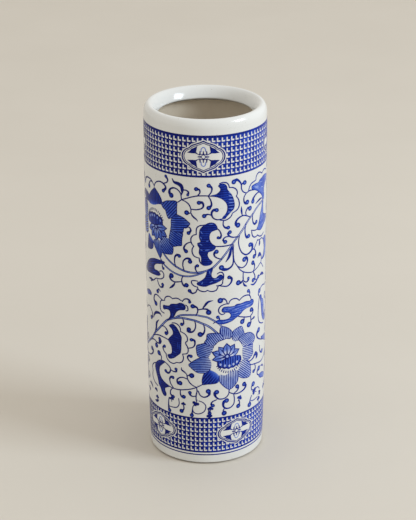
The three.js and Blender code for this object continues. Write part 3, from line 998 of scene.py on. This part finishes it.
LOWER_SCALLOPS = [
    # over the long leaf at the left
    [(-44.5, 269.3), (-48, 270.6), (-49.8, 275), (-49.9, 284), (-48.5, 290), (-45.5, 292), (-43.6, 293)],
    [(-43.8, 293), (-43, 298), (-40.5, 301.6), (-37.5, 302.9), (-34, 300.4)],
    [(-34, 300.4), (-31, 302.6), (-28, 303), (-25.3, 300.8), (-23.5, 300)],
    [(-20.2, 293.8), (-18.4, 291), (-18.2, 284.4), (-20, 283.6)],
    # round the kidney leaf
    [(-35, 256.4), (-31.5, 257.5), (-28, 255.2), (-26, 250), (-25.8, 244.5)],
    [(-25.8, 244.3), (-22, 242), (-19.3, 237), (-18.8, 230), (-20.8, 225), (-19, 219), (-18.1, 212),
     (-19.5, 206), (-24, 203.8)],
    [(-23.8, 203.6), (-23, 197), (-24.2, 190), (-27, 186.6), (-30.3, 186)],
    [(-30.3, 186), (-34, 182.4), (-38, 183.4), (-41.5, 188), (-42.8, 195)],
    # round the long leaf at the right
    [(17, 278.9), (14.5, 277.3), (11.8, 280.5), (10.9, 285.5), (12, 291), (14.5, 294), (17.5, 295.4),
     (20.8, 295)],
    [(21, 295), (21.8, 299), (24, 301.9), (27, 302.5), (30, 300.7), (32.2, 296.9)],
    [(32.2, 296.9), (34.5, 300.2), (37.5, 302.2), (41, 302.2), (44.2, 300.4), (46, 297), (47, 291.5)],
    # round the leaf at the far right
    [(61.5, 287), (60.3, 278), (59.3, 266), (59, 253)],
    [(59, 253), (60.5, 243), (64.5, 236.5), (72, 231.5)],
    [(62, 299), (66, 302.5), (71, 302.3), (76, 299)],
    [(76, 299), (81, 299.5), (86, 294)],
    # beside the leaf at the lower left
    [(-59, 169), (-63, 165), (-66, 158), (-65, 150)],
    [(-65, 150), (-66, 140), (-62, 131), (-56, 127.5)],
]
LOWER_LEAVES = [
    # long leaf at the left
    (0, DARK, (-46, 282), (-45, 284.2), (-41, 285), (-37.8, 286.8), (-36.3, 290), (-33, 292),
     (-29.5, 293.2), (-26, 296.4), (-22, 295.2), (-20.3, 291.5), (-20.5, 286.5), (-22, 284), (-26, 282.8),
     (-28.8, 279.8), (-30.5, 276), (-32, 270), (-34.5, 265.3), (-38, 261.3), (-41, 257.8), (-39.2, 262.3),
     (-37.3, 268), (-37, 273), (-38, 277.3), (-41, 278.2), (-44.5, 276), (-46, 278.5)),
    # kidney leaf
    (0, DARK, (-38.8, 249.5), (-37, 253), (-34.5, 255), (-32, 253.7), (-29.5, 250), (-27.5, 245),
     (-26, 240), (-24.6, 234), (-24.8, 227), (-25, 219), (-25.2, 211), (-26, 204.5), (-28.5, 200),
     (-31, 196), (-33, 193), (-36.5, 190), (-39, 189.5), (-41, 193), (-40.3, 196.5), (-37, 199),
     (-35.7, 203), (-35.8, 209), (-36.5, 214.5), (-38.5, 219), (-40, 223.5), (-38.5, 228), (-36.5, 232),
     (-34.5, 236), (-34.3, 241), (-35.5, 245), (-37.3, 247.5)),
    # leaf at the lower left
    (0, DARK, (-44, 180.5), (-48, 181.2), (-53, 178.2), (-57.5, 172), (-60.2, 164), (-59.5, 156),
     (-57.5, 148), (-55.5, 140), (-54.3, 132), (-51.5, 126.5), (-50, 120.5), (-48, 116.3), (-45.5, 114.6),
     (-43.6, 117), (-43.2, 121), (-44.6, 126), (-44.6, 130.5), (-42, 133.5), (-38.6, 137.4),
     (-43.5, 140.7), (-48, 144.7), (-51, 150), (-52.4, 157), (-52.3, 163), (-51, 168), (-48, 173),
     (-45.5, 177)),
    # long leaf at the right
    (0, FULL, (14, 285), (15.5, 289.6), (19, 290.2), (22, 289.3), (27, 289), (29, 291.2), (34, 290.4),
     (40, 291.2), (45.5, 289.3), (47, 291), (50, 289.2), (50.7, 285), (49.5, 281), (46, 279.2), (41, 279),
     (37, 277), (34, 273), (31.5, 270), (28, 267), (24.5, 263.5), (20, 261.3), (15, 260.3), (10.5, 262.3),
     (8.3, 266), (11, 268.5), (14.5, 267.4), (19, 267.6), (21.8, 269.3), (23.2, 273), (22.5, 277),
     (20.5, 279.8), (17, 280.5), (15, 281.8)),
    # leaf at the far right
    (0, FULL, (62.3, 287.5), (65.6, 287.3), (67.4, 279), (71, 276), (73, 264.3), (73.5, 249), (78.5, 237),
     (73, 236), (68, 247), (66.4, 260), (64.8, 274)),
    (0, FULL, (66, 209.5), (72, 208), (80, 206), (86, 196), (84, 190), (76, 197), (70, 203)),
    (0, FULL, (61.5, 141), (67, 142), (74, 138), (79, 131), (76, 127.5), (70, 131), (65, 134)),
    (0, FULL, (-80, 288), (-76, 293), (-70, 295.5), (-65.5, 293), (-66.5, 288.5), (-71, 287),
     (-75, 284.5)),
]
LOWER_RIBS = [
    (MIDDLE, [((-33.5, 246), (-31, 243)), ((-33, 233), (-28, 231)), ((-29, 224), (-28.6, 212)),
     ((-34, 206), (-31, 203)), ((-36, 195), (-33, 196.5)), ((-26.8, 221), (-26.6, 210))]),
    (MIDDLE, [((-43, 281.5), (-38, 282)), ((-33, 288), (-28, 290)), ((-31, 284), (-26, 286)), ((-25, 291),
     (-22.5, 290)), ((-34.5, 274), (-34, 268))]),
    (MIDDLE, [((-56, 172), (-51, 176)), ((-58, 162), (-56, 154)), ((-53, 142), (-51.5, 134)), ((-48, 130),
     (-46.5, 120))]),
    (PALE, [((20, 286), (27, 286.5)), ((30, 288), (38, 288)), ((40, 283), (46, 283)), ((24, 281.5),
     (32, 283)), ((27, 275), (31, 277)), ((15, 263.5), (22, 265)), ((16.6, 286.5), (18, 283.6))]),
    (PALE, [((67, 280), (68.5, 268)), ((70, 262), (70.5, 250))]),
]
# Little three-lobed sprigs: (degrees, height, size, angle)
SPRIGS = [
    (-36.8, 114.5, 3.0, 90),
    (-23.6, 110, 2.8, 90),
    (-11, 115.5, 4.0, 250),
    (33, 116.5, 3.4, 60),
    (54, 116.6, 4.4, 150),
    (3, 104.5, 3.4, 90),
    (2, 92, 3.4, 270),
    (62.5, 95, 3.6, 90),
    (64, 106, 3.4, 30),
    (-57.5, 104.5, 3.0, 90),
    (77, 108, 3.6, 90),
    (-77, 106, 3.6, 90),
]


def sprig(sheet, degrees, height, size, angle):
    centre = place(degrees, height)
    for turn in (-80, 0, 80):
        disc(sheet, offset(centre, angle + turn, 0.85 * size), 0.72 * size)
    brush(sheet, [centre, offset(centre, angle + 180, 1.6 * size)], [1.6, 1.2])


SCALLOP_WIDTH = 1.7


def leaf(sheet, angle, tone, outline):
    """A leaf's wash, with the lighter streaks that the brush left across it, and edged if it is pale."""
    curve = smooth([place(*p) for p in outline], closed=True)
    sheet.lay(tone, curve)
    veined(sheet, curve, angle, tone - 0.24, 3.9, 0.95, 2.2)
    if tone != DARK:
        brush(sheet, [*curve, curve[0]], [0.9, 0.9])


# Thin climbing stems with a curl at each bend
UPPER_VINES = [
    (2.5, (89.5, 508), (91.5, 492), (90, 474), (88, 455), (87.5, 435), (88.5, 412), (90, 390), (92, 368),
     (91, 346), (89, 326), (90.5, 308), (89, 297)),
]
LOWER_VINES = [
    (2.4, (81, 280), (83.5, 263), (81.5, 246), (84.5, 230), (88, 214), (91, 200), (93, 180)),
    (2.2, (97, 190), (98.5, 206), (96.5, 221), (98.5, 238)),
    (2.4, (86, 170), (88.5, 155), (86.5, 140), (89.5, 125), (88, 111), (90, 99)),
    (2.2, (97.5, 178), (99.5, 164), (97.5, 149), (99.5, 134), (98, 121)),
]
CURL = [(0, 0), (3.6, 3.4), (7.6, 3), (9.6, -1.2), (7.2, -5)]  # mm out from a vine's bend, and up


def vine(sheet, knob, *places):
    """A climbing stem, with curls to the left and right in turn."""
    line(sheet, 1.6, *places)
    for k, (degrees, height) in enumerate(places[:-1]):
        side = 1 if k % 2 else -1
        curl = [(degrees + side * x / ARC_PER_DEGREE, height + y) for x, y in CURL]
        tendril(sheet, knob, *curl)


def register(table, centre, turn):
    """One band of scrollwork, with its flower on top."""
    sheet = Sheet()
    for width, *places in table["stems"]:
        stem(sheet, width, *places)
    for width, *places in table["lines"]:
        line(sheet, width, *places)
    for places in table["scallops"]:
        line(sheet, SCALLOP_WIDTH, *places)
    for knob, *places in table["tendrils"]:
        tendril(sheet, knob, *places)
    for width, *places in table["blades"]:
        blade(sheet, width, *places)
    for knob, *places in table["vines"]:
        vine(sheet, knob, *places)
    for angle, tone, *places in table["leaves"]:
        leaf(sheet, angle, tone, places)
    for tone, strokes in table["ribs"]:
        for a, b in strokes:
            start, end = place(*a), place(*b)
            middle = ((start[0] + end[0]) / 2, (start[1] + end[1]) / 2)
            brush(sheet, [start, middle, end], [0.7, 1.5, 0.7], tone)
    for item in table["sprigs"]:
        sprig(sheet, *item)
    flower(sheet, centre, turn, table["petals"])
    return sheet


UPPER = {
    "stems": UPPER_STEMS,
    "lines": UPPER_LINES,
    "scallops": UPPER_SCALLOPS,
    "tendrils": UPPER_TENDRILS,
    "blades": UPPER_BLADES,
    "vines": UPPER_VINES,
    "leaves": UPPER_LEAVES,
    "ribs": UPPER_RIBS,
    "sprigs": [],
    "petals": UPPER_PETALS,
}
LOWER = {
    "stems": LOWER_STEMS,
    "lines": LOWER_LINES,
    "scallops": LOWER_SCALLOPS,
    "tendrils": LOWER_TENDRILS,
    "blades": LOWER_BLADES,
    "vines": LOWER_VINES,
    "leaves": LOWER_LEAVES,
    "ribs": LOWER_RIBS,
    "sprigs": SPRIGS,
    "petals": LOWER_PETALS,
}


def upper_register():
    return register(UPPER, UPPER_FLOWER, 180)


def lower_register():
    return register(LOWER, LOWER_FLOWER, 0)


# Borders: a lattice between two lines, with medallions. Heights are in mm above the foot.

CELL_DEGREES = 4.5
CELL_ROWS = 7


def box_area(sheet, tone, left, bottom, right, top):
    sheet.lay(tone, [(left, bottom), (right, bottom), (right, top), (left, top)])


def lattice(sheet, bottom, top):
    """Rows of square cells, each with a bare L at its left and foot."""
    cell_height = (top - bottom) / CELL_ROWS
    cell_width = CELL_DEGREES * ARC_PER_DEGREE
    for column in range(round(360 / CELL_DEGREES)):
        left = -180 * ARC_PER_DEGREE + column * cell_width
        for row in range(CELL_ROWS):
            foot = bottom + row * cell_height
            x0, x1, x2 = [left + share * cell_width for share in (0.14, 0.44, 0.86)]
            y0, y1, y2 = [foot + share * cell_height for share in (0.14, 0.42, 0.9)]
            sheet.lay(NONE, [(x0, y0), (x2, y0), (x2, y1), (x1, y1), (x1, y2), (x0, y2)])


def mirrored(outline, centre, across, up):
    return [(centre[0] + across * x, centre[1] + up * y) for x, y in outline]


# A quarter of the frame's outline, as shares of its half width and half height
MEDALLION_QUARTER = [
    (0, 1.0), (0.157, 0.895), (0.33, 0.815), (0.50, 0.73), (0.60, 0.64), (0.655, 0.55), (0.78, 0.48),
    (0.89, 0.37), (0.97, 0.2), (1.0, 0.0),
]
MEDALLION_HALF_WIDTH = 37.4
FULL_HALF_HEIGHT = 28.5  # of the frame that these leaf and loop outlines fit, in mm from the middle
FAN = [
    (26, 6), (21.5, 9.4), (18.6, 13), (14.6, 14.6), (9.7, 18), (10.6, 12.5), (11.4, 8), (12, 5.6),
    (18, 5.4),
]


LOOP = [(-3.4, 9), (-3.6, 12), (-2, 14.8), (0, 15.8), (2, 14.8), (3.6, 12), (3.4, 9)]


def ogee(centre, half_width, half_height, inset):
    """The frame's outline: pointed above and below, rounded at the sides, with a notch between."""
    w, h = half_width - inset, half_height - inset
    corner = [(w * x, h * y) for x, y in MEDALLION_QUARTER]
    right = corner + [(x, -y) for x, y in reversed(corner[:-1])]
    left = [(-x, y) for x, y in reversed(right[1:-1])]
    return [(centre[0] + x, centre[1] + y) for x, y in right + left]


def medallion(sheet, degrees, middle, half_height):
    """A pointed four-lobed frame with a rosette between four corner leaves."""
    centre = place(degrees, middle)
    for inset, tone in ((0, NONE), (1.9, DARK), (4.2, NONE), (5.4, DARK), (6.7, NONE)):
        sheet.lay(tone, ogee(centre, MEDALLION_HALF_WIDTH, half_height + 0.4, inset))
    up_scale = half_height / FULL_HALF_HEIGHT
    for across in (-1, 1):
        for up in (-up_scale, up_scale):
            sheet.lay(DARK, mirrored(FAN, centre, across, up))
            brush(sheet, mirrored([(12, 6.6), (9, 4.6), (6, 3)], centre, across, up), [2.2, 1.0, 1.0])
            brush(sheet, mirrored([(5.4, 4.2), (5.2, 9)], centre, across, up), [2.2, 1.3])
            brush(sheet, mirrored([(7, 3.4), (0, 4.6)], centre, across, up), [1.0, 1.0])
        brush(sheet, mirrored([(4.4, 0), (8.4, 0)], centre, across, 1), [2.2, 1.6])
    for up in (-up_scale, up_scale):
        brush(sheet, mirrored([(0, 4.2), (0, 9)], centre, 1, up), [2.0, 1.3])
        brush(sheet, smooth(mirrored(LOOP, centre, 1, up)), [1.1, 1.1], PALE)
    disc(sheet, centre, 3.9)
    disc(sheet, centre, 2.8, NONE)


TOP_BORDER = (517.5, 584.5)
BOTTOM_BORDER = (21.5, 86.8)
TOP_MEDALLIONS = (-92.5, -2.5, 87.5, 177.5)  # degrees
BOTTOM_MEDALLIONS = (-150, -53.5, 30, 120)


def band(sheet, tone, middle, width):
    """A line right round, in pieces as wide as a cell."""
    for column in range(round(360 / CELL_DEGREES)):
        left = (column * CELL_DEGREES - 180) * ARC_PER_DEGREE
        right = left + CELL_DEGREES * ARC_PER_DEGREE
        box_area(sheet, tone, left, middle - width / 2, right, middle + width / 2)


def border(span, medallions, middle, half_height, line_widths):
    """One border: span is the middles of its lower and upper lines."""
    sheet = Sheet()
    bottom, top = span
    low_width, high_width = line_widths
    band(sheet, GROUND, (bottom + top) / 2, top - bottom)
    lattice(sheet, bottom + low_width / 2, top - high_width / 2)
    band(sheet, DARK, bottom, low_width)
    band(sheet, DARK, top, high_width)
    for degrees in medallions:
        medallion(sheet, degrees, middle, half_height)
    return sheet


def top_border():
    return border(TOP_BORDER, TOP_MEDALLIONS, 551, FULL_HALF_HEIGHT, (2.2, 3.2))


def bottom_border():
    sheet = border(BOTTOM_BORDER, BOTTOM_MEDALLIONS, 55.5, 25.5, (2.0, 2.0))
    band(sheet, DARK, 16.4, 2.0)
    return sheet

# ---------------------------------------------------------------- the painting, laid on the cylinder

PAINT_SUNK = 0.0001  # how far the cobalt goes into the glaze
HALF_TURN = 180 * ARC_PER_DEGREE
FLAT_STEP = 5.5  # mm between the points that keep a wide area on the curve of the wall
SEAM = 0.001
HEAVY = 0.7  # washes from this tone on are the dark brushwork


def inside(outline):
    xs = [x for x, _ in outline]
    return max(xs) > -HALF_TURN and min(xs) < HALF_TURN


def unrolled(sheet, repeat):
    """The sheet's areas with their repeats round the cylinder, in painting order, over one whole turn."""
    heights = [y for _, outline, _ in sheet.areas for _, y in outline]
    low, high = min(heights) - 1, max(heights) + 1
    areas = [(NONE, [(-HALF_TURN, low), (HALF_TURN, low), (HALF_TURN, high), (-HALF_TURN, high)], None)]
    for tone, outline, fade in sheet.areas:
        for turn in (-2, -1, 0, 1, 2):
            shift = turn * repeat * ARC_PER_DEGREE
            moved = [(x + shift, y) for x, y in outline]
            if inside(moved):
                centre = None
                if fade:
                    centre = ((fade[0][0] + shift, fade[0][1]), fade[1], fade[2])
                areas.append((tone, moved, centre))
    return areas, low, high


def cut(sheet, repeat):
    """Cuts the sheet into triangles that each show one area: the points, triangles and areas shown."""
    areas, low, high = unrolled(sheet, repeat)
    points = []
    rings = []
    for _, outline, _ in areas:
        rings.append(list(range(len(points), len(points) + len(outline))))
        points.extend(outline)
    columns = round(2 * HALF_TURN / FLAT_STEP)
    rows = max(1, round((high - low) / FLAT_STEP))
    for i in range(1, columns):
        x = -HALF_TURN + 2 * HALF_TURN * i / columns
        stagger = 0.5 * (i % 2)
        points += [(x, low + (high - low) * (j - stagger) / rows) for j in range(1, rows)]
    flat = [Vector(p) for p in points]
    found, _, triangles, _, _, owners = delaunay_2d_cdt(flat, [], rings, 0, 1e-5, True)
    kept = []
    shown = []
    for triangle, owner in zip(triangles, owners):
        if not owner or min(owner) > 0:
            continue
        top = max(owner)
        if areas[top][0] > NONE:
            kept.append(triangle)
            shown.append(top)
    return np.array([tuple(p) for p in found]), np.array(kept), np.array(shown), areas


def sewn(points, triangles):
    """Joins the two sides of the seam at the back."""
    left = np.where(points[:, 0] < SEAM - HALF_TURN)[0]
    left = left[np.argsort(points[left, 1])]
    joined = np.arange(len(points))
    for k in np.where(points[:, 0] > HALF_TURN - SEAM)[0]:
        place_in_left = np.searchsorted(points[left, 1], points[k, 1])
        for near in left[max(0, place_in_left - 1):place_in_left + 1]:
            if abs(points[near, 1] - points[k, 1]) < SEAM:
                joined[k] = near
    return joined[triangles]


def strength(points, triangles, shown, areas):
    """The tone at each corner: a faded area is thin near its centre."""
    tones = np.array([tone for tone, _, _ in areas])[shown][:, None] * np.ones((1, 3))
    for k, (_, _, fade) in enumerate(areas):
        if fade:
            rows = np.where(shown == k)[0]
            if len(rows):
                centre, near, far = fade
                away = np.linalg.norm(points[triangles[rows]] - np.array(centre), axis=2)
                t = np.clip((away - near) / (far - near), 0, 1)
                tones[rows] *= t * t * (3 - 2 * t)
    return tones


def painted_piece(name, points, triangles, tones, turn):
    """A thin closed plate of cobalt, curved round the cylinder and sunk a little in the glaze."""
    triangles = sewn(points, triangles)
    corners = triangles.T
    whole = (corners[0] != corners[1]) & (corners[1] != corners[2]) & (corners[2] != corners[0])
    triangles = triangles[whole]
    tones = tones[whole]
    used, compact = np.unique(triangles, return_inverse=True)
    triangles = compact.reshape(-1, 3)
    points = points[used]
    count = len(points)
    angle = points[:, 0] * MM / OUTER_RADIUS + math.radians(turn)
    outward = np.stack([np.sin(angle), -np.cos(angle), np.zeros(count)], axis=1)
    sideways = np.stack([np.cos(angle), np.sin(angle), np.zeros(count)], axis=1)
    up = np.array([0.0, 0.0, 1.0])
    height = foot_low.z + points[:, 1] * MM
    radius = outer_radius(height)[:, None]
    top = outward * radius + height[:, None] * up
    bottom = outward * (radius - PAINT_RELIEF - PAINT_SUNK) + height[:, None] * up
    starts = triangles.reshape(-1)
    ends = np.roll(triangles, -1, axis=1).reshape(-1)
    codes = starts.astype(np.int64) * count + ends
    free = ~np.isin(codes, ends.astype(np.int64) * count + starts)
    starts, ends = starts[free], ends[free]
    walls = np.stack([ends, starts, starts + count, ends + count], axis=1)
    under = triangles[:, ::-1] + count
    faces = [*triangles.tolist(), *under.tolist(), *walls.tolist()]
    mesh = bpy.data.meshes.new(name)
    mesh.from_pydata(np.concatenate([top, bottom]).tolist(), [], faces)
    mesh.shade_smooth()
    run = points[ends] - points[starts]
    run[:, 0] = (run[:, 0] + HALF_TURN) % (2 * HALF_TURN) - HALF_TURN
    run /= np.maximum(np.linalg.norm(run, axis=1), 1e-9)[:, None]
    facing = sideways[starts] * run[:, 1:2] - up * run[:, 0:1]
    normals = np.concatenate([
        outward[triangles.reshape(-1)],
        -outward[triangles[:, ::-1].reshape(-1)],
        np.repeat(facing, 4, axis=0),
    ])
    mesh.normals_split_custom_set(normals.tolist())
    wall_tone = np.full(4 * len(walls), float(tones.mean()))
    values = np.concatenate([tones.reshape(-1), tones[:, ::-1].reshape(-1), wall_tone])
    attribute = mesh.attributes.new("tone", "FLOAT", "CORNER")
    attribute.data.foreach_set("value", values.astype(np.float32))
    finished_piece(name, mesh, COBALT, "painted_cobalt")


def painting(name, sheet, repeat, turn):
    """Lays a sheet on the cylinder: the washes and the brushwork are pieces of their own."""
    points, triangles, shown, areas = cut(sheet, repeat)
    tones = strength(points, triangles, shown, areas)
    heavy = np.array([tone >= HEAVY for tone, _, _ in areas])[shown]
    painted_piece(f"painted_{name}", points, triangles[heavy], tones[heavy], turn)
    painted_piece(f"washed_{name}", points, triangles[~heavy], tones[~heavy], turn)


painting("top_border", top_border(), 360, 0.7)
painting("bottom_border", bottom_border(), 360, 1.25)
painting("upper_scroll", upper_register(), UNIT_DEGREES, 0.88)
painting("lower_scroll", lower_register(), UNIT_DEGREES, 0.88)

# ---------------------------------------------------------------- floor, light and camera


def studio_floor():
    size = 12
    mesh_data = bmesh.new()
    bmesh.ops.create_grid(mesh_data, x_segments=8, y_segments=8, size=size)
    mesh = bpy.data.meshes.new("studio_floor")
    mesh_data.to_mesh(mesh)
    mesh_data.free()
    piece = bpy.data.objects.new("studio_floor", mesh)
    bpy.context.scene.collection.objects.link(piece)
    mesh.materials.append(floor_material())


def soft_light(name, place, aim, size, watts, colour):
    light = bpy.data.lights.new(name, "AREA")
    light.shape = "RECTANGLE"
    light.size, light.size_y = size
    light.energy = watts
    light.color = colour
    lamp = bpy.data.objects.new(name, light)
    bpy.context.scene.collection.objects.link(lamp)
    lamp.location = place
    lamp.rotation_euler = (Vector(aim) - Vector(place)).to_track_quat("-Z", "Y").to_euler()
    return lamp


def studio_light():
    world = bpy.data.worlds.new("studio")
    bpy.context.scene.world = world
    world.use_nodes = True
    background = world.node_tree.nodes["Background"]
    background.inputs["Color"].default_value = (1.0, 0.955, 0.885, 1)
    background.inputs["Strength"].default_value = 0.855
    soft_light("window", (5.1, -1.8, 3.6), (0, 0, 0.2), (2.3, 2.3), 235, (0.80, 0.90, 1.0))


def camera():
    """The photograph's view: high, in front and a little to the side, with a longish lens."""
    distance = 2.558
    height = 1.4244
    pitch = math.radians(23.0639)
    yaw = math.radians(0.1598)
    roll = math.radians(0.1844)
    view = bpy.data.cameras.new("camera")
    view.sensor_width = 36
    view.lens = 115.17
    view.clip_end = 50
    eye = bpy.data.objects.new("camera", view)
    bpy.context.scene.collection.objects.link(eye)
    eye.location = (0, -distance, height)
    eye.rotation_euler = (math.pi / 2 - pitch, roll, -yaw)
    bpy.context.scene.camera = eye


studio_floor()
studio_light()
camera()
bpy.context.scene.view_settings.view_transform = "Standard"
